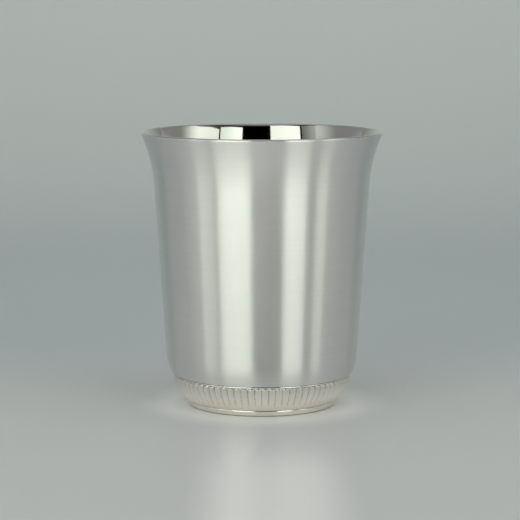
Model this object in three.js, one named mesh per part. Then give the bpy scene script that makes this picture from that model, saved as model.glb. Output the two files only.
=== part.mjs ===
// Silver-plated beaker: a bell-mouthed bowl, a gadroon band soldered round its base, and a foot ring.
// Millimetres, +Z up. The origin is the centre of the circle that the foot ring stands on.
//
// Every turned piece is drawn as a half section: x is the distance from the axis, y the height above
// the table. The section runs anticlockwise, up the outside and down the inside.

import * as THREE from 'three';

const { degToRad } = THREE.MathUtils;

// Driving dimensions: bowl
const HEIGHT = 80; // table to the top of the lip
const RIM_DIAMETER = 70; // over the lip
const WALL = 1.0; // sheet thickness of the wall, and of the full-round lip
const FLARE_RADIUS = 45; // hollow curve of the wall below the lip
const LIP_ANGLE = degToRad(23.5); // lean of the wall where it reaches the lip
const SHOULDER_RADIUS = 15; // curve that turns the wall in above the band
const RIDGE_DIAMETER = 52.86; // outside of the wall where it stops above the band
const RIDGE_HEIGHT = 9.45;
const RIDGE_ANGLE = degToRad(26.4); // lean of the wall there
const FLOOR_THICKNESS = 1.4;
const SEAT_WALL = 0.9; // metal left between the band's seat and the inside

// Driving dimensions: gadroon band
const BAND_RADIUS = 11.5; // bulge of the band, seen in section
const BAND_FOOT_DIAMETER = 44.8; // over the band's lower edge
const BAND_EDGE = 0.9; // thickness of the band at its upper edge
const BAND_LINE = 0.12; // fine open line between the wall and the band
const BEAD_WIDTH = 0.5; // bead along the band's upper edge
const BEAD_NOTCH = 0.3; // share of the bead's height that it loses where it meets a groove
const LOBE_COUNT = 80;
const GROOVE_DEPTH = 0.4; // depth of the grooves between the lobes
const LOBE_ROUND = 1.25; // length over which a lobe's top end rounds over
const GROOVE_RUN_OUT = 0.5; // length over which a groove fades out at its lower end
const PLAIN_EDGE = 1.4; // plain strip below the grooves

// Driving dimensions: foot ring and solder
const FOOT_HEIGHT = 1.95; // table to the underside of the bowl
const FOOT_SETBACK = 0.65; // from the band's lower edge in to the outside of the ring
const FOOT_ROUND = 0.45; // rounding of the ring's two outer edges
const FOOT_LEAN = degToRad(15.5); // lean of the ring's outside, between them
const TREAD_WIDTH = 1.85; // the flat that the ring stands on
const SOLDER_FILM = 0.15;
const SOLDER_FILLET = 0.6; // inside the foot ring, against the underside

// Facets: one for each lobe round the plain pieces, so that they line up with the grooves.
const TURNED_STEPS = LOBE_COUNT;
const LOBE_STEPS = 4;
const SHOULDER_STEPS = 3;
const FLARE_STEPS = 5;
const LIP_OUTER_STEPS = 3;
const LIP_INNER_STEPS = 2;
const CORNER_STEPS = 6;
const TOE_STEPS = 2;
const CROWN_STEPS = 3;
const FILLET_STEPS = 2;

// Section helpers
const point = (radius, height) => new THREE.Vector2(radius, height);

// Outward normal of a wall that leans outwards, towards its top, by this angle from upright.
const outward = (lean) => point(Math.cos(lean), -Math.sin(lean));

const offset = (from, lean, distance) => outward(lean).multiplyScalar(distance).add(from);

// Points of an arc, from one lean to another. A negative radius gives a hollow arc.
function arc(centre, radius, fromLean, toLean, steps) {
  const points = [];
  for (let i = 0; i <= steps; i += 1) {
    const lean = THREE.MathUtils.lerp(fromLean, toLean, i / steps);
    points.push(offset(centre, lean, radius));
  }
  return points;
}

// The wall's outside: a hollow flare under the lip and a round shoulder above the band,
// joined by the straight line that touches both.
const lipCentre = point(RIM_DIAMETER / 2 - WALL / 2, HEIGHT - WALL / 2);
const flareCentre = offset(lipCentre, LIP_ANGLE, WALL / 2 + FLARE_RADIUS);
const ridge = point(RIDGE_DIAMETER / 2, RIDGE_HEIGHT);
const shoulderCentre = offset(ridge, RIDGE_ANGLE, -SHOULDER_RADIUS);
const centreLine = flareCentre.clone().sub(shoulderCentre);
const taper = Math.acos((FLARE_RADIUS + SHOULDER_RADIUS) / centreLine.length()) - centreLine.angle();

// The band's crest bulges from the ridge to the band's foot, and its back is flat, along the chord.
const bandFoot = point(BAND_FOOT_DIAMETER / 2, FOOT_HEIGHT);
const bandChord = ridge.clone().sub(bandFoot);
const bandLean = Math.atan2(bandChord.x, bandChord.y);
const bandHalfSweep = Math.asin(bandChord.length() / 2 / BAND_RADIUS);
const bandMiddle = ridge.clone().add(bandFoot).multiplyScalar(0.5);
const bandCentre = offset(bandMiddle, bandLean, -BAND_RADIUS * Math.cos(bandHalfSweep));

// Two points of a line that lies this deep behind the band's chord: at its top and at the underside.
function behindBand(depth) {
  const top = offset(ridge, bandLean, -depth);
  const bottom = point(top.x - (top.y - FOOT_HEIGHT) * Math.tan(bandLean), FOOT_HEIGHT);
  return { top, bottom };
}

const seat = behindBand(BAND_EDGE + SOLDER_FILM);
const bandBack = behindBand(BAND_EDGE);
const floorTop = FOOT_HEIGHT + FLOOR_THICKNESS;

// The foot ring lies just inside the band's lower edge, a film of solder below the underside.
// Its outside runs from the rounded toe on the table up to the rounded crown under the band.
const footTop = FOOT_HEIGHT - SOLDER_FILM;
const crown = point(BAND_FOOT_DIAMETER / 2 - FOOT_SETBACK - FOOT_ROUND, footTop - FOOT_ROUND);
const toe = point(crown.x - (crown.y - FOOT_ROUND) * Math.tan(FOOT_LEAN), FOOT_ROUND);
const boreRadius = toe.x - TREAD_WIDTH;

// The inside corner touches the wall and the floor, and leaves SEAT_WALL behind the top of the seat.
// Its centre moves in a straight line as its radius grows, so the radius comes from a quadratic.
function insideCorner() {
  const wallStart = offset(flareCentre, taper, -(FLARE_RADIUS + WALL));
  const wallAtFloor = wallStart.x - (wallStart.y - floorTop) * Math.tan(taper);
  const inwardStep = (Math.sin(taper) - 1) / Math.cos(taper);
  const across = wallAtFloor - seat.top.x;
  const up = floorTop - seat.top.y;
  const a = inwardStep ** 2;
  const b = 2 * (across * inwardStep + up - SEAT_WALL);
  const c = across ** 2 + up ** 2 - SEAT_WALL ** 2;
  const radius = (-b + Math.sqrt(b ** 2 - 4 * a * c)) / (2 * a);
  const centre = point(wallAtFloor + inwardStep * radius, floorTop + radius);
  return { centre, radius };
}

function turned(section, steps = TURNED_STEPS) {
  return new THREE.LatheGeometry(section, steps).rotateX(Math.PI / 2);
}

// A ring's section closes on its first point.
const closed = (section) => [...section, section[0].clone()];

function bowl() {
  const corner = insideCorner();
  const upright = Math.PI / 2;
  return turned([
    point(0, FOOT_HEIGHT),
    seat.bottom,
    seat.top,
    ...arc(shoulderCentre, SHOULDER_RADIUS, RIDGE_ANGLE, taper, SHOULDER_STEPS),
    ...arc(flareCentre, -FLARE_RADIUS, taper, LIP_ANGLE, FLARE_STEPS),
    ...arc(lipCentre, WALL / 2, 0, -upright, LIP_OUTER_STEPS),
    ...arc(lipCentre, WALL / 2, -upright, LIP_ANGLE - Math.PI, LIP_INNER_STEPS).slice(1),
    ...arc(flareCentre, -(FLARE_RADIUS + WALL), LIP_ANGLE, taper, FLARE_STEPS).slice(1),
    ...arc(corner.centre, corner.radius, taper, upright, CORNER_STEPS),
    point(0, floorTop),
  ]);
}

// Rows of the band's front, from its lower edge up. Each has its lean, how far the whole row is sunk,
// and how much further it is sunk between the lobes, as shares of the groove's depth.
function bandRows() {
  const topLean = bandLean - bandHalfSweep + BAND_LINE / BAND_RADIUS;
  const bottomLean = bandLean + bandHalfSweep;
  const length = (bottomLean - topLean) * BAND_RADIUS;
  const grooveEnd = length - PLAIN_EDGE;
  const grooveFull = grooveEnd - GROOVE_RUN_OUT;
  const lobeFull = BEAD_WIDTH + LOBE_ROUND;
  const middle = (lobeFull + grooveFull) / 2;
  const nose = BEAD_WIDTH + LOBE_ROUND * 0.4;
  const beadCrest = BEAD_WIDTH / 2;
  const distances = [length, grooveEnd, grooveFull, middle, lobeFull, nose, BEAD_WIDTH, beadCrest, 0];
  return distances.map((distance) => {
    const lean = topLean + distance / BAND_RADIUS;
    if (distance < BEAD_WIDTH) {
      const round = Math.sqrt(1 - (distance / beadCrest - 1) ** 2);
      return { lean, sunk: 1 - round, lobed: round * BEAD_NOTCH };
    }
    const shortOfRound = Math.max(0, 1 - (distance - BEAD_WIDTH) / LOBE_ROUND);
    const raised = 1 - shortOfRound ** 2;
    const cut = THREE.MathUtils.clamp((grooveEnd - distance) / GROOVE_RUN_OUT, 0, 1);
    return { lean, sunk: cut * (1 - raised), lobed: cut * raised };
  });
}

// The band is turned plain, over the crests of its lobes, and the grooves are then pressed into its front.
function gadroonBand() {
  const rows = bandRows();
  const steps = LOBE_COUNT * LOBE_STEPS;
  const front = rows.map((row) => offset(bandCentre, row.lean, BAND_RADIUS));
  const topEdge = front.at(-1);
  const topThickness = topEdge.clone().sub(bandBack.top).dot(outward(bandLean));
  const backTop = offset(topEdge, bandLean, -topThickness);
  const section = closed([...front, backTop, bandBack.bottom]);
  const geometry = new THREE.LatheGeometry(section, steps);
  const { position } = geometry.attributes;

  const press = (step, index, row) => {
    const turn = (2 * Math.PI * step) / steps;
    const fromCrest = 1 - (2 * (step % LOBE_STEPS)) / LOBE_STEPS;
    const depth = GROOVE_DEPTH * (row.sunk + row.lobed * fromCrest ** 2);
    const { x, y } = offset(bandCentre, row.lean, BAND_RADIUS - depth);
    position.setXYZ(step * section.length + index, x * Math.sin(turn), y, x * Math.cos(turn));
  };
  for (let step = 0; step <= steps; step += 1) {
    rows.forEach((row, index) => press(step, index, row));
    press(step, section.length - 1, rows[0]); // the point that closes the section
  }
  geometry.computeVertexNormals();
  return geometry.rotateX(Math.PI / 2);
}

function bandSolder() {
  return turned(closed([seat.bottom, bandBack.bottom, bandBack.top, seat.top]));
}

function footRing() {
  const upright = Math.PI / 2;
  return turned(closed([
    ...arc(toe, FOOT_ROUND, upright, FOOT_LEAN, TOE_STEPS),
    ...arc(crown, FOOT_ROUND, FOOT_LEAN, -upright, CROWN_STEPS),
    point(boreRadius, footTop),
    point(boreRadius, 0),
  ]));
}

function footSolder() {
  const filletCentre = point(boreRadius - SOLDER_FILLET, FOOT_HEIGHT - SOLDER_FILLET);
  return turned(closed([
    point(crown.x, footTop),
    point(crown.x, FOOT_HEIGHT),
    ...arc(filletCentre, SOLDER_FILLET, -Math.PI / 2, 0, FILLET_STEPS),
    point(boreRadius, footTop),
  ]));
}

// Finishes
const satinSilver = { color: 0xc9c9c4, roughness: 0.35, metalness: 1 };
const polishedSilver = { color: 0xd6d5cf, roughness: 0.1, metalness: 1 };
const silverSolder = { color: 0xbdbab0, roughness: 0.45, metalness: 1 };

function piece(name, geometry, finish) {
  const mesh = new THREE.Mesh(geometry, new THREE.MeshStandardMaterial(finish));
  mesh.name = name;
  return mesh;
}

const beaker = new THREE.Group();
beaker.add(
  piece('bowl', bowl(), satinSilver),
  piece('gadroon_band', gadroonBand(), polishedSilver),
  piece('foot_ring', footRing(), polishedSilver),
  piece('band_solder', bandSolder(), silverSolder),
  piece('foot_solder', footSolder(), silverSolder),
);

export default beaker;
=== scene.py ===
# %% [markdown]
# # A silver-plated beaker
# A drinking beaker, spun from sheet metal and plated with silver. The bowl has a bell mouth, a satin wall
# and a bright inside. A band of small upright lobes, called gadroons, is soldered round its base, and it
# stands on a low foot ring with rounded edges.
#
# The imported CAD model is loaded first. It is the fixed frame: it says how large each piece is and where
# it sits. The pieces that show are then modelled again over it, with a finer surface and a real finish.

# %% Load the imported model
import math

import bpy
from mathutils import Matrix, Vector


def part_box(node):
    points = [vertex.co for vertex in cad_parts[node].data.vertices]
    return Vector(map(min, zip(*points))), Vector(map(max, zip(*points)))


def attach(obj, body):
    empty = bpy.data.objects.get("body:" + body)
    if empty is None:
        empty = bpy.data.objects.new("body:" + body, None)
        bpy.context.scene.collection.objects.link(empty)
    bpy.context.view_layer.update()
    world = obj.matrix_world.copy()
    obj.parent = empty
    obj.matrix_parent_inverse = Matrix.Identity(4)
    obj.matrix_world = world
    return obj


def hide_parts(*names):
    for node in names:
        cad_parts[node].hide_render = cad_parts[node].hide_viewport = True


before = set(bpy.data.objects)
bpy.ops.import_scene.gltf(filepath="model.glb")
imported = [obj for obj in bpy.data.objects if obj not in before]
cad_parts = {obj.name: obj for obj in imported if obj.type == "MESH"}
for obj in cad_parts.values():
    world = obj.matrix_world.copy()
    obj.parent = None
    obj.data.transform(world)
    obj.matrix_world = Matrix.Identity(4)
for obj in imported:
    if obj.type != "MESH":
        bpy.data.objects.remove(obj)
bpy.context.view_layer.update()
print("nodes:", sorted(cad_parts))

# %% [markdown]
# ## Sizes
# The outer sizes are read from the frame, so that a new piece always fits its node. The sizes that a box
# can't tell, such as the radius of a curve, are written here once, in metres by way of millimetres.
# The bowl's are the ones that its solid was drawn with. The foot ring's edges are a little finer than the
# solid's, by a few tenths of a millimetre.

# %% Sizes of the bowl
MM = 0.001
UPRIGHT = math.radians(90)
bowl_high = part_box("bowl")[1]
HEIGHT = bowl_high.z
RIM_RADIUS = bowl_high.x
WALL = 1.0 * MM
FLARE_RADIUS = 45 * MM
LIP_ANGLE = math.radians(23.5)
SHOULDER_RADIUS = 15 * MM
RIDGE_RADIUS = 26.43 * MM
RIDGE_HEIGHT = 9.45 * MM
RIDGE_ANGLE = math.radians(26.4)
FLOOR_THICKNESS = 1.4 * MM
SEAT_WALL = 0.9 * MM
print(f"bowl: {HEIGHT / MM:.1f} mm high, {2 * RIM_RADIUS / MM:.1f} mm over the lip")

# %% Sizes of the band, the foot ring and the solder
foot_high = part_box("foot_ring")[1]
FOOT_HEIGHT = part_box("gadroon_band")[0].z
FOOT_TOP = foot_high.z
FOOT_RADIUS = foot_high.x
FOOT_ROUND = 0.45 * MM
TOE_ROUND = 0.18 * MM
FOOT_LEAN = math.radians(12.5)
FOOT_BORE = 19.2 * MM
BAND_RADIUS = 11.5 * MM
BAND_FOOT_RADIUS = 22.4 * MM
BAND_EDGE = 0.9 * MM
BAND_LINE = 0.12 * MM
SOLDER_FILM = FOOT_HEIGHT - FOOT_TOP
SOLDER_FILLET = 0.6 * MM
print(f"foot ring: {2 * FOOT_RADIUS / MM:.1f} mm across, {FOOT_TOP / MM:.2f} mm high")

# %% [markdown]
# ## Half sections
# Everything here is round, so each piece is drawn as half of its cross-section: a list of stations, each
# with a radius and a height. The wall is described by its lean, the angle by which it opens outwards
# from upright. An arc is then a run of leans round a centre, and a hollow arc has a negative radius.


# %% Helpers for half sections
def outward(lean):
    """Direction that a wall of this lean faces, as radius and height."""
    return Vector((math.cos(lean), -math.sin(lean)))


def offset(start, lean, distance):
    return start + outward(lean) * distance


def arc(centre, radius, from_lean, to_lean, steps):
    step = (to_lean - from_lean) / steps
    return [offset(centre, from_lean + step * i, radius) for i in range(steps + 1)]


def straight(start, end, steps):
    """Stations between two points, without the two points themselves."""
    return [start.lerp(end, i / steps) for i in range(1, steps)]


# %% [markdown]
# The outside of the wall is a flare under the lip and a round shoulder above the band, with the straight
# line between them that touches both. Its lean follows from the two arcs, so it isn't a size of its own.

# %% Where the arcs of the wall have their centres
lip_centre = Vector((RIM_RADIUS - WALL / 2, HEIGHT - WALL / 2))
flare_centre = offset(lip_centre, LIP_ANGLE, WALL / 2 + FLARE_RADIUS)
ridge = Vector((RIDGE_RADIUS, RIDGE_HEIGHT))
shoulder_centre = offset(ridge, RIDGE_ANGLE, -SHOULDER_RADIUS)
between = flare_centre - shoulder_centre
touching = math.acos((FLARE_RADIUS + SHOULDER_RADIUS) / between.length)
taper = touching - math.atan2(between.y, between.x)
print(f"the wall leans out by {math.degrees(taper):.2f} degrees")

# %% [markdown]
# The band lies in a seat round the base. In section its front is an arc from the ridge down to the band's
# foot, and its back is flat. A thin film of solder fills the seat behind it.

# %% Where the band and its seat lie
band_foot = Vector((BAND_FOOT_RADIUS, FOOT_HEIGHT))
chord = ridge - band_foot
band_lean = math.atan2(chord.x, chord.y)
half_sweep = math.asin(chord.length / 2 / BAND_RADIUS)
band_centre = offset((ridge + band_foot) / 2, band_lean, -BAND_RADIUS * math.cos(half_sweep))


def behind_band(depth):
    """Top and bottom of a line that lies this deep behind the band's chord."""
    top = offset(ridge, band_lean, -depth)
    bottom = Vector((top.x - (top.y - FOOT_HEIGHT) * math.tan(band_lean), FOOT_HEIGHT))
    return top, bottom


seat_top, seat_bottom = behind_band(BAND_EDGE + SOLDER_FILM)
print(f"the band leans {math.degrees(band_lean):.1f} degrees and is {chord.length / MM:.2f} mm tall")

# %% [markdown]
# ## Turning a section into a piece
# A lathe turns a section round an axis. By hand in Blender, the same form comes from one circle: it is
# extruded and scaled from station to station, as a spinner works a disc down a former step by step.
# The Spin operator would do it too, but it leaves a seam to merge and a pole to clean. A circle has
# neither, and the ring that was made last stays selected, ready for the next pull.


# %% Helpers for turned pieces
def start_ring(name, station, sides):
    """A circle at the first station, left in edit mode with its ring selected."""
    bpy.ops.object.select_all(action="DESELECT")
    bpy.ops.mesh.primitive_circle_add(vertices=sides, radius=station.x)
    piece = bpy.context.object
    piece.name = name
    piece.data.name = name
    bpy.ops.object.mode_set(mode="EDIT")
    bpy.ops.transform.translate(value=(0, 0, station.y))
    return piece


def pull_ring(stations):
    """Extrudes the selected ring from the first station through all the others."""
    for here, there in zip(stations, stations[1:]):
        bpy.ops.mesh.extrude_region_move(TRANSFORM_OT_translate={"value": (0, 0, there.y - here.y)})
        share = there.x / here.x
        bpy.ops.transform.resize(value=(share, share, 1), center_override=(0, 0, there.y))


def close_pole():
    """Draws the selected ring together on the axis."""
    bpy.ops.mesh.extrude_region_move()
    bpy.ops.mesh.merge(type="CENTER")


def select_open_rings():
    bpy.ops.mesh.select_mode(type="EDGE")
    bpy.ops.mesh.select_all(action="DESELECT")
    bpy.ops.mesh.select_non_manifold()


def bridge_open_rings():
    """Closes the strip between the first ring and the last one."""
    select_open_rings()
    bpy.ops.mesh.bridge_edge_loops()


def finish_turning(piece, sharp_angle=math.radians(35)):
    """Points the faces outwards, leaves edit mode and smooths all but the real corners."""
    bpy.ops.mesh.select_all(action="SELECT")
    bpy.ops.mesh.normals_make_consistent(inside=False)
    bpy.ops.object.mode_set(mode="OBJECT")
    bpy.ops.object.shade_smooth_by_angle(angle=sharp_angle)
    print(f"{piece.name}: {len(piece.data.polygons)} faces")


# %% [markdown]
# ## The bowl
# On the real beaker the bowl is one piece of sheet, spun over a former, with its edge rounded to a full
# lip. One pull makes it: from the seat up the outside, over the lip and down the inside to the floor.
# The curve inside, where wall meets floor, touches both and leaves a named thickness behind the seat.
# Its centre moves in a straight line as its radius grows, so the radius comes from a quadratic.

# %% The curve inside, between wall and floor
floor_top = FOOT_HEIGHT + FLOOR_THICKNESS


def inside_corner():
    wall_start = offset(flare_centre, taper, -(FLARE_RADIUS + WALL))
    wall_at_floor = wall_start.x - (wall_start.y - floor_top) * math.tan(taper)
    inward_step = (math.sin(taper) - 1) / math.cos(taper)
    across = wall_at_floor - seat_top.x
    up = floor_top - seat_top.y
    a = inward_step**2
    b = 2 * (across * inward_step + up - SEAT_WALL)
    c = across**2 + up**2 - SEAT_WALL**2
    radius = (-b + math.sqrt(b**2 - 4 * a * c)) / (2 * a)
    return Vector((wall_at_floor + inward_step * radius, floor_top + radius)), radius


corner_centre, corner_radius = inside_corner()
print(f"inside corner: {corner_radius / MM:.2f} mm radius")

# %% The bowl's half section
shoulder = arc(shoulder_centre, SHOULDER_RADIUS, RIDGE_ANGLE, taper, steps=16)
flare = arc(flare_centre, -FLARE_RADIUS, taper, LIP_ANGLE, steps=24)
lip = arc(lip_centre, WALL / 2, 0, LIP_ANGLE - 2 * UPRIGHT, steps=16)
inner_flare = arc(flare_centre, -(FLARE_RADIUS + WALL), LIP_ANGLE, taper, steps=24)
inner_corner = arc(corner_centre, corner_radius, taper, UPRIGHT, steps=28)
bowl_section = [
    seat_bottom,
    seat_top,
    *shoulder,
    *straight(shoulder[-1], flare[0], steps=16),
    *flare,
    *lip,
    *inner_flare[1:],
    *straight(inner_flare[-1], inner_corner[0], steps=16),
    *inner_corner,
]
print(f"{len(bowl_section)} stations from the seat to the floor")

# %% Turn the bowl
BOWL_SIDES = 240
bowl = start_ring("silver_bowl", bowl_section[0], BOWL_SIDES)
pull_ring(bowl_section)
close_pole()
select_open_rings()
close_pole()
finish_turning(bowl)

# %% [markdown]
# The bowl has two finishes: satin outside, and a mirror polish inside and over the lip. They are two
# material slots, and each face is told which one it takes by the way it faces: towards the axis or up
# is bright, everything else is satin.

# %% Tell the bright faces of the bowl from the satin ones
SATIN, BRIGHT = 0, 1
LIP_TURN = 0.35  # a face of the lip counts as bright once it looks up this much
for face in bowl.data.polygons:
    towards_axis = face.normal.x * face.center.x + face.normal.y * face.center.y < 0
    looks_up = face.normal.z > LIP_TURN
    face.material_index = BRIGHT if towards_axis or looks_up else SATIN
bright_faces = sum(face.material_index == BRIGHT for face in bowl.data.polygons)
print(f"{bright_faces} bright faces, {len(bowl.data.polygons) - bright_faces} satin faces")

# %% [markdown]
# ## The gadroon band
# Gadrooning is a border of rounded lobes with narrow grooves between them. It is rolled into a strip, with
# a fine bead along one edge, and the strip is bent round and soldered into its seat. The model follows
# that: the plain front of the band is turned first, the depth of the pattern is then painted on it as a
# vertex weight, and one Displace modifier presses it in. Modelling one lobe and repeating it 80 times
# would leave 80 seams to close.
#
# Below the bead, each lobe rises from a fine line and rounds over to its full height. At the lower end
# the grooves run out gently and leave a plain strip.

# %% Sizes of the pattern
LOBE_COUNT = 80
BEAD_WIDTH = 0.5 * MM
BEAD_BACK = 0.3  # share of the depth that is left behind the bead, next to the bowl
BEAD_NOTCH = 0.3  # share of its height that the bead loses where it meets a groove
GROOVE_DEPTH = 0.4 * MM
LOBE_ROUND = 0.32 * MM
GROOVE_RUN_OUT = 1.1 * MM
PLAIN_EDGE = 1.2 * MM
LOBE_FULLNESS = 2.0  # 2 is a round lobe, more is a flatter one with narrower grooves
LOBE_SIDES = 12

top_lean = band_lean - half_sweep + BAND_LINE / BAND_RADIUS
bottom_lean = band_lean + half_sweep
band_length = (bottom_lean - top_lean) * BAND_RADIUS
groove_end = band_length - PLAIN_EDGE
groove_full = groove_end - GROOVE_RUN_OUT
lobe_full = BEAD_WIDTH + LOBE_ROUND
print(f"grooves end {groove_end / MM:.2f} mm below the band's top edge")

# %% [markdown]
# The front needs rows of points only where its shape turns. They lie close together over the bead, closest
# at its two edges where it is steepest, and further apart down the lobes.

# %% Rows of the band's front, from its top edge down
BEAD_ROWS, NOSE_ROWS, BODY_ROWS, RUN_OUT_ROWS, EDGE_ROWS = 10, 8, 8, 5, 4
distances = [BEAD_WIDTH * (1 - math.cos(math.pi * i / BEAD_ROWS)) / 2 for i in range(BEAD_ROWS)]
for start, end, rows in (
    (BEAD_WIDTH, lobe_full, NOSE_ROWS),
    (lobe_full, groove_full, BODY_ROWS),
    (groove_full, groove_end, RUN_OUT_ROWS),
    (groove_end, band_length, EDGE_ROWS),
):
    distances += [start + (end - start) * i / rows for i in range(rows)]
distances.append(band_length)
front = [offset(band_centre, top_lean + d / BAND_RADIUS, BAND_RADIUS) for d in distances]
print(f"{len(front)} rows on the band's front")

# %% Turn the plain front
BAND_SIDES = LOBE_COUNT * LOBE_SIDES
band = start_ring("gadroon_border", front[0], BAND_SIDES)
pull_ring(front)
finish_turning(band)

# %% [markdown]
# A vertex weight goes from 0 to 1, so it can say how deep each point is pressed: not at all on the crest
# of a lobe or of the bead, and fully at the bottom of a groove. The top of a lobe is a dome: its depth
# grows with the distance from the crest, sideways and towards the bead together. In Blender the weight
# could be painted by hand. Formulas keep the 80 lobes alike.


# %% Paint the pattern as a weight
def from_crest(column):
    """How far a column lies from the middle of its lobe: 0 on the crest, 1 in the groove."""
    return abs(1 - 2 * (column % LOBE_SIDES) / LOBE_SIDES)


def groove_cut(distance):
    """How fully the grooves are cut here: they run out gently at their lower end."""
    before_end = min(1, max(0, (groove_end - distance) / GROOVE_RUN_OUT))
    return math.sin(UPRIGHT * before_end) ** 2


def press_share(distance, column):
    """How deep the front is pressed in here, from 0 on a crest to 1 at the bottom of a groove."""
    sideways = from_crest(column)
    if distance < BEAD_WIDTH:
        across = 2 * distance / BEAD_WIDTH - 1
        share = BEAD_BACK if across < 0 else 1
        return share * (1 - math.sqrt(1 - across**2) * (1 - BEAD_NOTCH * sideways**2))
    short_of_round = max(0, 1 - (distance - BEAD_WIDTH) / LOBE_ROUND)
    from_dome = min(1, math.hypot(sideways, short_of_round))
    return groove_cut(distance) * from_dome**LOBE_FULLNESS


pattern = band.vertex_groups.new(name="pattern")
for row, distance in enumerate(distances):
    for column in range(BAND_SIDES):
        pattern.add([row * BAND_SIDES + column], press_share(distance, column), "REPLACE")
print(f"{len(distances) * BAND_SIDES} points weighted")

# %% [markdown]
# A polishing mop is soft and wide. It brightens the crests and slides over the grooves and the line under
# the bead, where the plate keeps a little tarnish. The darkness there is that tarnish together with painted
# shade: the shade that falls in the grooves and in the line. An ambient occlusion node could give the shade,
# but the grooves are so fine that a number for each point is steadier. It is kept as an attribute of the
# mesh, and the finish reads it later.

# %% Mark the tarnish and the painted shade in the grooves and under the bead
LINE_REACH = 0.1 * MM
# how dark a groove is painted: tarnish and painted shade together
GROOVE_TARNISH_AND_SHADE = 0.65
TARNISH_AND_SHADE_FADE = 0.7  # share of it that is lost at the lower end of a groove, which is shallower
GROOVE_NARROWNESS = 4  # a higher power keeps the dark to a finer line


def tarnish_and_shade_share(distance, column):
    """How dark the plate is painted here, tarnish and painted shade: in the grooves and in the line below the
    bead.
    """
    below_bead = max(0, 1 - abs(distance - BEAD_WIDTH) / LINE_REACH)
    if distance <= BEAD_WIDTH:
        return below_bead
    down_lobe = max(0, distance - lobe_full) / (groove_end - lobe_full)
    fade = 1 - TARNISH_AND_SHADE_FADE * down_lobe
    in_groove = groove_cut(distance) * from_crest(column) ** GROOVE_NARROWNESS * fade
    return max(below_bead, GROOVE_TARNISH_AND_SHADE * in_groove)


def mark_tarnish_and_shade(piece, shares):
    """Keeps one darkness for each point of a piece."""
    tarnish_and_shade = piece.data.attributes.new("tarnish_and_shade", "FLOAT", "POINT")
    tarnish_and_shade.data.foreach_set("value", shares)
    print(f"{piece.name}: {sum(share > 0 for share in shares)} points have some tarnish")


mark_tarnish_and_shade(band, [tarnish_and_shade_share(d, c) for d in distances for c in range(BAND_SIDES)])

# %% [markdown]
# The Displace modifier moves each point along its normal by the weight times the strength. Applied, it
# leaves a plain mesh that can be closed.

# %% Press the pattern in
press = band.modifiers.new("press", "DISPLACE")
press.vertex_group = "pattern"
press.direction = "NORMAL"
press.mid_level = 0
press.strength = -GROOVE_DEPTH
bpy.ops.object.modifier_apply(modifier="press")
low = min(math.hypot(v.co.x, v.co.y) for v in band.data.vertices)
print(f"smallest radius of the front: {low / MM:.2f} mm")

# %% [markdown]
# The real strip is solid, so the front alone isn't enough: from above and below, its edges would be as thin
# as paper. The ring along its top is selected again and pulled over to the flat back, down to the band's
# foot, and the last strip is bridged. Solidify would copy the lobes to the back, which is flat on the
# real one.

# %% Close the band with its flat back
back_top, back_bottom = behind_band(BAND_EDGE)
pressed_top = offset(band_centre, top_lean, BAND_RADIUS - BEAD_BACK * GROOVE_DEPTH)
top_thickness = (pressed_top - back_top).dot(outward(band_lean))
bpy.ops.object.mode_set(mode="EDIT")
bpy.ops.mesh.select_mode(type="VERT")
bpy.ops.mesh.select_all(action="DESELECT")
bpy.ops.object.mode_set(mode="OBJECT")
for vertex in band.data.vertices[:BAND_SIDES]:
    vertex.select = True
bpy.ops.object.mode_set(mode="EDIT")
pull_ring([pressed_top, offset(pressed_top, band_lean, -top_thickness), back_bottom])
bridge_open_rings()
finish_turning(band)

# %% [markdown]
# ## The foot ring and its solder
# The ring is flattened wire. Its outside leans in a little towards the table, between a rounded crown under
# the band and a small rounded toe. It is turned as the bowl was, and its last strip is closed by bridging
# the two open rings.

# %% Turn the foot ring
RING_SIDES = 240
crown = Vector((FOOT_RADIUS - FOOT_ROUND, FOOT_TOP - FOOT_ROUND))
face_top = offset(crown, FOOT_LEAN, FOOT_ROUND)
face_drop = face_top.y - TOE_ROUND * (1 - math.sin(FOOT_LEAN))
face_foot = face_top.x - face_drop * math.tan(FOOT_LEAN)
toe = Vector((face_foot - TOE_ROUND * math.cos(FOOT_LEAN), TOE_ROUND))
toe_round = arc(toe, TOE_ROUND, UPRIGHT, FOOT_LEAN, steps=10)
foot_section = [
    *toe_round,
    *straight(toe_round[-1], face_top, steps=12),
    *arc(crown, FOOT_ROUND, FOOT_LEAN, -UPRIGHT, steps=14),
    Vector((FOOT_BORE, FOOT_TOP)),
    Vector((FOOT_BORE, 0)),
]
print(f"the foot ring's toe is {toe.x / MM:.2f} mm from the axis")
foot = start_ring("foot_wire", foot_section[0], RING_SIDES)
pull_ring(foot_section)
bridge_open_rings()
finish_turning(foot)

# %% [markdown]
# Where the ring touches the table, a fine dark line of painted shade is laid round its toe: the shadow in
# the narrow gap under it. The same attribute as on the band marks it.

# %% Paint shade on the ring where it touches the table
# the contact line is painted shade, full up to CONTACT_LINE and gone at twice that height
CONTACT_LINE = 0.12 * MM
CONTACT_SHADE = 3  # above 1, so that the line stays whole where the tarnish is patchy


def contact_shade_share(height):
    """Full up to the height of the line, and gone at twice that height."""
    return CONTACT_SHADE * max(0, min(1, 2 - height / CONTACT_LINE))


mark_tarnish_and_shade(foot, [contact_shade_share(v.co.z) for v in foot.data.vertices])

# %% [markdown]
# Above the ring lies the film of solder that holds it. It reaches out to the band's lower edge and fills the
# gap over the crown, and on the inside it is drawn into a small hollow fillet, which shows from below.

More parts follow.
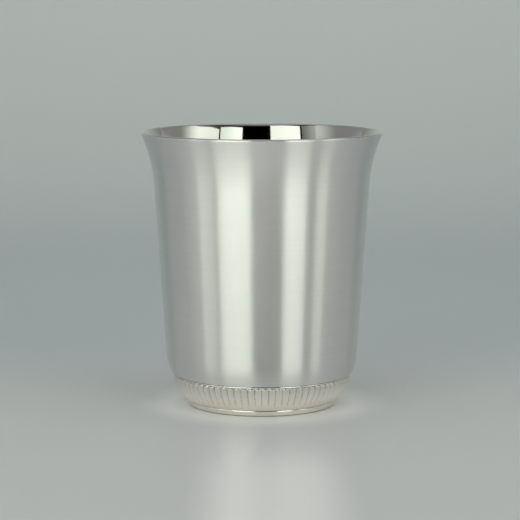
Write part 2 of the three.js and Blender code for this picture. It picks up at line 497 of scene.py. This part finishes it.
# %% Turn the solder above the foot ring
fillet_centre = Vector((FOOT_BORE - SOLDER_FILLET, FOOT_HEIGHT - SOLDER_FILLET))
solder_section = [
    offset(crown, -UPRIGHT / 2, FOOT_ROUND - SOLDER_FILM),
    Vector((BAND_FOOT_RADIUS - SOLDER_FILM, FOOT_HEIGHT)),
    *arc(fillet_centre, SOLDER_FILLET, -UPRIGHT, 0, steps=10),
    Vector((FOOT_BORE, FOOT_TOP)),
]
solder = start_ring("foot_joint", solder_section[0], RING_SIDES)
pull_ring(solder_section)
bridge_open_rings()
finish_turning(solder)

# %% [markdown]
# ## Finishes
# All the metal is the same silver plate. What differs is how its surface was worked, so the colours are
# close together and the roughness does most of the work. Colours are written as sRGB hex values, as a
# colour picker shows them, and one function turns them into the linear values that shaders use.


# %% Helpers for materials
def linear(hex_colour):
    """An sRGB hex colour as linear RGBA."""
    channels = [int(hex_colour[i : i + 2], 16) / 255 for i in (1, 3, 5)]
    return [c / 12.92 if c <= 0.04045 else ((c + 0.055) / 1.055) ** 2.4 for c in channels] + [1]


def add(tree, kind, inputs=None, **settings):
    """Adds a node. An input that is given a socket is linked to it, any other is set to the value."""
    made = tree.nodes.new(kind)
    for name, value in settings.items():
        setattr(made, name, value)
    for name, value in (inputs or {}).items():
        if isinstance(value, bpy.types.NodeSocket):
            tree.links.new(value, made.inputs[name])
        else:
            made.inputs[name].default_value = value
    return made


def new_material(name):
    """An empty node material and the output that its shader goes to."""
    material = bpy.data.materials.new(name)
    material.use_nodes = True
    material.node_tree.nodes.clear()
    output = material.node_tree.nodes.new("ShaderNodeOutputMaterial")
    return material, material.node_tree, output


# %% [markdown]
# ### Satin silver
# The outside of the bowl was turned against a fine abrasive. That leaves hair lines round the wall, far too
# fine to see one by one, which scatter light up and down much more than sideways. Every lamp is drawn out
# into a tall soft streak. An anisotropic shader gives that: its tangent runs round the axis, and its
# longer blur lies across the lines. Noise that is stretched round the axis adds the faint unevenness.

# %% Satin silver
HAIR_LINE = 0.4 * MM  # real ones are about 0.05 mm, drawn coarser so that they show at all
HAIR_LENGTH = 30 * MM
HAIR_DEPTH = 0.005 * MM
NOISE_MIDDLE = {"From Min": 0.3, "From Max": 0.7}  # where most values of a noise lie
SATIN_ROUGHNESS = {"To Min": 0.32, "To Max": 0.35}
ACROSS_LINES = 0.25  # a quarter of a turn, from along the tangent to across it


def satin_silver():
    material, tree, output = new_material("satin silver plate")
    place = add(tree, "ShaderNodeTexCoord").outputs["Object"]
    stretch = (1 / HAIR_LENGTH, 1 / HAIR_LENGTH, 1 / HAIR_LINE)
    along = add(tree, "ShaderNodeMapping", {"Vector": place, "Scale": stretch})
    noise = add(tree, "ShaderNodeTexNoise", {"Vector": along.outputs[0], "Scale": 1, "Detail": 3})
    hair = noise.outputs["Fac"]
    rough = add(tree, "ShaderNodeMapRange", {"Value": hair, **NOISE_MIDDLE, **SATIN_ROUGHNESS})
    tones = {"Factor": hair, "A": linear("#f2f1ee"), "B": linear("#ebeae8")}
    colour = add(tree, "ShaderNodeMix", tones, data_type="RGBA")
    tangent = add(tree, "ShaderNodeTangent", direction_type="RADIAL", axis="Z")
    bump = add(tree, "ShaderNodeBump", {"Height": hair, "Strength": 0.1, "Distance": HAIR_DEPTH})
    shader = add(
        tree,
        "ShaderNodeBsdfPrincipled",
        {
            "Base Color": colour.outputs["Result"],
            "Metallic": 1,
            "Roughness": rough.outputs["Result"],
            "Anisotropic": 1.0,
            "Anisotropic Rotation": ACROSS_LINES,
            "Tangent": tangent.outputs[0],
            "Normal": bump.outputs[0],
        },
    )
    tree.links.new(shader.outputs[0], output.inputs["Surface"])
    return material


satin = satin_silver()
print("made", satin.name)

# %% [markdown]
# ### Bright silver
# The inside and the lip were buffed to a mirror, and so were the band and the foot ring, a little less
# finely. A buffed surface still has a faint haze from the polishing mop, so its roughness wanders. Solder
# is the same metal to the eye, left dull as it flowed. One function makes all three, and it mixes in the
# darkness that was marked on the mesh: tarnish in the band's grooves, and painted shade there, under the
# bead and round the foot ring's toe. Where a piece has no such marks, the attribute reads 0. Noise breaks
# the darkness into patches.

# %% Bright silver
MOP_MARK = 6 * MM
TARNISH_AND_SHADE_COLOUR = "#8d877b"
TARNISH_AND_SHADE_PATCH = 1.5 * MM
PATCHINESS = {"From Min": 0.35, "From Max": 0.65, "To Min": 0.35, "To Max": 1}


def bright_silver(name, smooth, hazy, clean, dull):
    material, tree, output = new_material(name)
    place = add(tree, "ShaderNodeTexCoord").outputs["Object"]
    noise = add(tree, "ShaderNodeTexNoise", {"Vector": place, "Scale": 1 / MOP_MARK, "Detail": 4})
    haze = noise.outputs["Fac"]
    roughness = {"Value": haze, **NOISE_MIDDLE, "To Min": smooth, "To Max": hazy}
    rough = add(tree, "ShaderNodeMapRange", roughness)
    tones = {"Factor": haze, "A": linear(clean), "B": linear(dull)}
    colour = add(tree, "ShaderNodeMix", tones, data_type="RGBA")
    # the tarnish and painted shade marked on the mesh darken the colour here
    tarnish_and_shade_marks = add(tree, "ShaderNodeAttribute", attribute_name="tarnish_and_shade")
    patch = add(tree, "ShaderNodeTexNoise", {"Vector": place, "Scale": 1 / TARNISH_AND_SHADE_PATCH, "Detail": 2})
    uneven = add(tree, "ShaderNodeMapRange", {"Value": patch.outputs["Fac"], **PATCHINESS})
    factors = {0: tarnish_and_shade_marks.outputs["Fac"], 1: uneven.outputs["Result"]}
    depth = add(tree, "ShaderNodeMath", factors, operation="MULTIPLY")
    layers = {"Factor": depth.outputs[0], "A": colour.outputs["Result"], "B": linear(TARNISH_AND_SHADE_COLOUR)}
    tarnished_and_shaded = add(tree, "ShaderNodeMix", layers, data_type="RGBA")
    shader = add(
        tree,
        "ShaderNodeBsdfPrincipled",
        {"Base Color": tarnished_and_shaded.outputs["Result"], "Metallic": 1, "Roughness": rough.outputs["Result"]},
    )
    tree.links.new(shader.outputs[0], output.inputs["Surface"])
    return material


mirror = bright_silver("mirror silver plate", smooth=0.03, hazy=0.06, clean="#f4f3ef", dull="#eeede8")
polished = bright_silver("polished silver plate", smooth=0.1, hazy=0.16, clean="#f7f3ed", dull="#efebe4")
joint = bright_silver("silver solder", smooth=0.35, hazy=0.5, clean="#dddad0", dull="#cbc8bd")
print("made", mirror.name, polished.name, joint.name)

# %% [markdown]
# ## Dressing
# Each new piece gets its finish and takes the place of its node in the frame. Nothing on this beaker moves,
# so all of them ride on the one body. The film of solder behind the band hardly shows, so its CAD solid
# stays and only gets a finish.

# %% Dress the pieces
for piece, node, slot_name, finishes in (
    (bowl, "bowl", "satin_silver_plate", (satin, mirror)),
    (band, "gadroon_band", "polished_silver_plate", (polished,)),
    (foot, "foot_ring", "polished_silver_plate", (polished,)),
    (solder, "foot_solder", "silver_solder", (joint,)),
):
    for finish in finishes:
        piece.data.materials.append(finish)
    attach(piece, "root")
    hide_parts(node)
    print(f"{piece.name} stands for {node}")

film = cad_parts["band_solder"]
film.data.materials.clear()
film.data.materials.append(joint)
print(f"{film.name} keeps its solid")

# %% [markdown]
# ## The stage
# The beaker stands on a pale grey sweep: a card that lies flat and then curves up behind, so that no edge
# shows. It is one plane. Its rear edge is extruded along a quarter circle and then straight up.

# %% The sweep
SWEEP_WIDTH = 2.6
SWEEP_FRONT = -1.6
COVE_START = 0.45
COVE_RADIUS = 0.6
COVE_STEPS = 16
SWEEP_TOP = 2.4
bpy.ops.object.select_all(action="DESELECT")
bpy.ops.mesh.primitive_plane_add(size=1)
sweep = bpy.context.object
sweep.name = "sweep"
bpy.ops.object.mode_set(mode="EDIT")
bpy.ops.transform.resize(value=(SWEEP_WIDTH, COVE_START - SWEEP_FRONT, 1))
bpy.ops.transform.translate(value=(0, (COVE_START + SWEEP_FRONT) / 2, 0))
bpy.ops.mesh.select_all(action="DESELECT")
bpy.ops.object.mode_set(mode="OBJECT")
for edge in sweep.data.edges:
    edge.select = all(sweep.data.vertices[v].co.y > 0 for v in edge.vertices)
bpy.ops.object.mode_set(mode="EDIT")
bpy.ops.mesh.select_mode(type="EDGE")
cove = [UPRIGHT * i / COVE_STEPS for i in range(COVE_STEPS + 1)]
for here, there in zip(cove, cove[1:]):
    along = COVE_RADIUS * (math.sin(there) - math.sin(here))
    up = COVE_RADIUS * (math.cos(here) - math.cos(there))
    bpy.ops.mesh.extrude_region_move(TRANSFORM_OT_translate={"value": (0, along, up)})
bpy.ops.mesh.extrude_region_move(TRANSFORM_OT_translate={"value": (0, 0, SWEEP_TOP - COVE_RADIUS)})
bpy.ops.object.mode_set(mode="OBJECT")
bpy.ops.object.shade_smooth()
print(f"{sweep.name}: {len(sweep.data.polygons)} faces")

# %% [markdown]
# ### Grey card
# Coated card has a soft sheen, so it mirrors the foot and the lamps a little. Silver throws light down on
# what it stands on: there is a pale pool round the foot, and a pale patch and a streak in front. Traced
# light finds such spots slowly and leaves grain, so they are painted light, tones of the card instead. The
# card is also painted paler in front, where the lamps are near, darker just behind the beaker and paler
# again far behind: painted light and shade. Each tone is a smooth ramp over a distance from the beaker, and
# where several meet, the palest one counts.

# %% Where the card is pale
card, tree, output = new_material("grey background card")
place = add(tree, "ShaderNodeTexCoord").outputs["Object"]
split = add(tree, "ShaderNodeSeparateXYZ", {"Vector": place})
across, depth = split.outputs["X"], split.outputs["Y"]
away = add(tree, "ShaderNodeVectorMath", {0: place}, operation="LENGTH").outputs["Value"]
share = {}
for name, measure, start, end in (
    ("round_foot", away, 39 * MM, 22 * MM),
    ("patch_left", across, -20 * MM, -5 * MM),
    ("patch_right", across, 26 * MM, 11 * MM),
    ("patch_front", depth, -45 * MM, -98 * MM),
    ("streak_left", across, -14 * MM, -7 * MM),
    ("streak_right", across, 2 * MM, -5 * MM),
    ("streak_front", depth, -5 * MM, -85 * MM),
    ("front", depth, -130 * MM, -220 * MM),
    ("behind", depth, -20 * MM, 120 * MM),
    ("far_behind", depth, 280 * MM, 900 * MM),
):
    limits = {"Value": measure, "From Min": start, "From Max": end}
    ramp = add(tree, "ShaderNodeMapRange", limits, interpolation_type="SMOOTHSTEP")
    share[name] = ramp.outputs["Result"]
print("ramps over the card:", ", ".join(share))

# %% The card's tones
for name, operation, first, second in (
    ("patch_sides", "MULTIPLY", "patch_left", "patch_right"),
    ("patch", "MULTIPLY", "patch_sides", "patch_front"),
    ("streak_sides", "MULTIPLY", "streak_left", "streak_right"),
    ("streak", "MULTIPLY", "streak_sides", "streak_front"),
    ("patch_or_streak", "MAXIMUM", "patch", "streak"),
    ("pale", "MAXIMUM", "patch_or_streak", "front"),
):
    joined = add(tree, "ShaderNodeMath", {0: share[first], 1: share[second]}, operation=operation)
    share[name] = joined.outputs[0]
# painted light and shade: paler in front and round the foot, darker behind the beaker, paler far behind
tone = linear("#d6d8da")
for name, colour in (
    ("pale", "#f2f2f1"),
    ("round_foot", "#ffffff"),
    ("behind", "#c5cdd0"),
    ("far_behind", "#eef5f1"),
):
    layers = {"Factor": share[name], "A": tone, "B": linear(colour)}
    tone = add(tree, "ShaderNodeMix", layers, data_type="RGBA").outputs["Result"]
sheen = {"Base Color": tone, "Roughness": 0.38, "Specular IOR Level": 0.45}
shader = add(tree, "ShaderNodeBsdfPrincipled", sheen)
tree.links.new(shader.outputs[0], output.inputs["Surface"])
sweep.data.materials.append(card)
print("made", card.name)

# %% [markdown]
# ## Lamps
# Silver has no look of its own: it shows what stands round it. So the lamps are placed by what the beaker
# mirrors. Tall soft boxes to the left and right of the camera give the two streaks on the wall and the
# white panels inside the lip, and the dark gap between them is the unlit room behind the camera.
# A soft box that is further away gives a streak that is even from top to bottom. A near one reaches high
# enough to be mirrored inside the lip. Each side therefore has both.
#
# A lamp of this kind is set by its level: the brightness that a mirror would show, where 1 is white. Area
# lamps are set by their power in watts, which is the level times pi times the area.

# %% Helpers for lamps
LAMP_DISTANCE = 0.42
FAR_DISTANCE = 1.2
LAMP_LOW = 0.02
LAMP_TOP = 0.455
LAMP_TINT = "#f8fff2"


def area_lamp(name, width, height):
    lamp = bpy.data.lights.new(name, "AREA")
    lamp.shape = "RECTANGLE"
    lamp.size = width
    lamp.size_y = height
    return lamp


def hang(lamp, place, turned=(0, 0, 0)):
    """Puts a lamp in the scene. The camera sees its light and not the lamp."""
    hung = bpy.data.objects.new(lamp.name, lamp)
    bpy.context.collection.objects.link(hung)
    hung.location = place
    hung.rotation_euler = turned
    hung.visible_camera = False
    print(f"{lamp.name}: {lamp.size:.2f} by {lamp.size_y:.2f} m, {lamp.energy:.2f} W")
    return hung


def grade(lamp, left_level, right_level):
    """Lets the lamp's level change from its left edge to its right edge."""
    lamp.use_nodes = True
    tree = lamp.node_tree
    place = add(tree, "ShaderNodeNewGeometry").outputs["Parametric"]
    sideways = add(tree, "ShaderNodeSeparateXYZ", {"Vector": place}).outputs["X"]
    levels = {"Value": sideways, "To Min": left_level, "To Max": right_level}
    fade = add(tree, "ShaderNodeMapRange", levels, interpolation_type="SMOOTHSTEP")
    tree.links.new(fade.outputs["Result"], tree.nodes["Emission"].inputs["Strength"])


def softbox(name, sides, facing, level, grades=None, low=LAMP_LOW, top=LAMP_TOP, away=LAMP_DISTANCE):
    """An upright lamp between two azimuths, in degrees to the right of the camera."""
    turn = math.radians(facing)
    left, right = (away * math.tan(math.radians(side) - turn) for side in sides)
    lamp = area_lamp(name, right - left, top - low)
    lamp.energy = level * math.pi * lamp.size * lamp.size_y
    lamp.color = linear(LAMP_TINT)[:3]
    if grades:
        grade(lamp, *grades)
    middle = (left + right) / 2
    x = away * math.sin(turn) + middle * math.cos(turn)
    y = middle * math.sin(turn) - away * math.cos(turn)
    return hang(lamp, (x, y, (low + top) / 2), (UPRIGHT, 0, turn))


# %% The soft boxes on each side
softbox("left_softbox", (-46.3, -10.8), facing=-18, level=1.22, grades=(1.0, 0.88), low=0.16, top=0.505)
softbox("right_softbox", (23.2, 49.6), facing=27, level=1.22, grades=(1.0, 0.72), low=0.16)
softbox("left_far_softbox", (-48, -11.3), facing=-30, level=1.95, low=0.0, top=0.5, away=FAR_DISTANCE)
softbox("right_far_softbox", (24.2, 48.4), facing=38, level=1.8, low=0.0, top=0.5, away=FAR_DISTANCE)

# %% [markdown]
# White boards further round, beside the beaker, fill in the rest. They give the second, weaker streaks on the
# wall and the soft fade inside the lip. The low ones light only the foot of the wall, and a strip along the
# horizon keeps the gap between the streaks from going black.

# %% The boards and the strip
softbox("front_strip", (-58, 68), facing=5, level=0.5, low=0.0, top=0.06, away=FAR_DISTANCE)
softbox("left_reflector", (-65.6, -49), facing=-57, level=0.22, grades=(1.35, 0.7))
softbox("left_low_reflector", (-68, -50), facing=-59, level=0.9, low=0.0, top=0.15)
softbox("right_low_reflector", (58, 71), facing=65, level=0.9, low=0.0, top=0.15)
softbox("left_wing", (-94, -65.6), facing=-80, level=0.45, grades=(0.0, 1.0))
softbox("right_reflector", (51.6, 73.8), facing=63, level=0.9, low=0.18, top=0.41)
softbox("right_wing", (73.8, 103), facing=88, level=0.9, grades=(1.0, 0.0), low=0.18, top=0.41)

# %% [markdown]
# Three lamps are for the card. A wide one overhead lights all of it softly, and silver doesn't mirror it,
# because a white ceiling would wash out the inside of the lip. A small one lifts the card behind, and one
# in front lights the part of the card that the wall mirrors.

# %% The lamps over the card
OVERHEAD_SIZE = 2.6
OVERHEAD_LEVEL = 0.28
overhead = area_lamp("overhead", OVERHEAD_SIZE, OVERHEAD_SIZE)
overhead.energy = OVERHEAD_LEVEL * math.pi * OVERHEAD_SIZE**2
hang(overhead, place=(0, 0, 1.3)).visible_glossy = False

backdrop_lamp = area_lamp("backdrop_lamp", width=0.8, height=0.8)
backdrop_lamp.spread = math.radians(70)
backdrop_lamp.energy = 0.2
hang(backdrop_lamp, place=(0, 0.75, 1.1))

table_lamp = area_lamp("table_lamp", width=0.7, height=0.3)
table_lamp.spread = math.radians(40)
table_lamp.energy = 1.4
hang(table_lamp, place=(0, -0.5, 0.5))

# %% [markdown]
# ## The room
# The world is the room round the card. It is dark in front, behind the camera, so that the streaks stand
# out, and grey at the sides and behind, most of all low down. A soft ceiling rounds off the top of the lip
# and of the lobes. The camera sees a plain grey instead, for views that look past the card's edge.

# %% World
ROOM_LEVEL = {"From Min": 0.1, "From Max": 0.35, "To Min": 0.66, "To Max": 0.27}
DARK_FRONT = {"From Min": -0.6, "From Max": -0.1, "To Min": 0}
CEILING_LEVEL = {"From Min": 0.66, "From Max": 0.76, "To Min": 0, "To Max": 0.5}
world = bpy.data.worlds.new("studio")
bpy.context.scene.world = world
world.use_nodes = True
tree = world.node_tree
tree.nodes.clear()
direction = add(tree, "ShaderNodeTexCoord").outputs["Generated"]
split = add(tree, "ShaderNodeSeparateXYZ", {"Vector": direction})
forward, up = split.outputs["Y"], split.outputs["Z"]
room = add(tree, "ShaderNodeMapRange", {"Value": up, **ROOM_LEVEL}).outputs["Result"]
sides = add(tree, "ShaderNodeMapRange", {"Value": forward, **DARK_FRONT, "To Max": room}).outputs["Result"]
ceiling = add(tree, "ShaderNodeMapRange", {"Value": up, **CEILING_LEVEL}).outputs["Result"]
level = add(tree, "ShaderNodeMath", {0: sides, 1: ceiling}, operation="MAXIMUM").outputs[0]
light = add(tree, "ShaderNodeBackground", {"Strength": level})
plain = add(tree, "ShaderNodeBackground", {"Color": linear("#aeb2b1")})
seen = add(tree, "ShaderNodeLightPath").outputs["Is Camera Ray"]
either = add(tree, "ShaderNodeMixShader", {0: seen, 1: light.outputs[0], 2: plain.outputs[0]})
add(tree, "ShaderNodeOutputWorld", {"Surface": either.outputs[0]})
print("made world", world.name)

# %% [markdown]
# ## Camera
# A long lens from a little above table height, as for a catalogue. Its place and its pitch were found by
# fitting the outline of the bowl and the ellipses of the lip and the foot: how open an ellipse looks gives
# the height of the camera, and how much the two differ gives its distance.

# %% Camera
CAMERA_SIDE = -0.49 * MM
CAMERA_DISTANCE = 0.6017
CAMERA_HEIGHT = 0.1219
CAMERA_PITCH = math.radians(7.543)
camera = bpy.data.objects.new("camera", bpy.data.cameras.new("camera"))
bpy.context.collection.objects.link(camera)
camera.location = (CAMERA_SIDE, -CAMERA_DISTANCE, CAMERA_HEIGHT)
camera.rotation_euler = (UPRIGHT - CAMERA_PITCH, 0, 0)
camera.data.sensor_width = 36
camera.data.lens = 143.6
bpy.context.scene.camera = camera
bpy.context.scene.view_settings.view_transform = "Standard"
print(f"camera: {camera.data.lens} mm lens, {CAMERA_DISTANCE / MM:.0f} mm away")
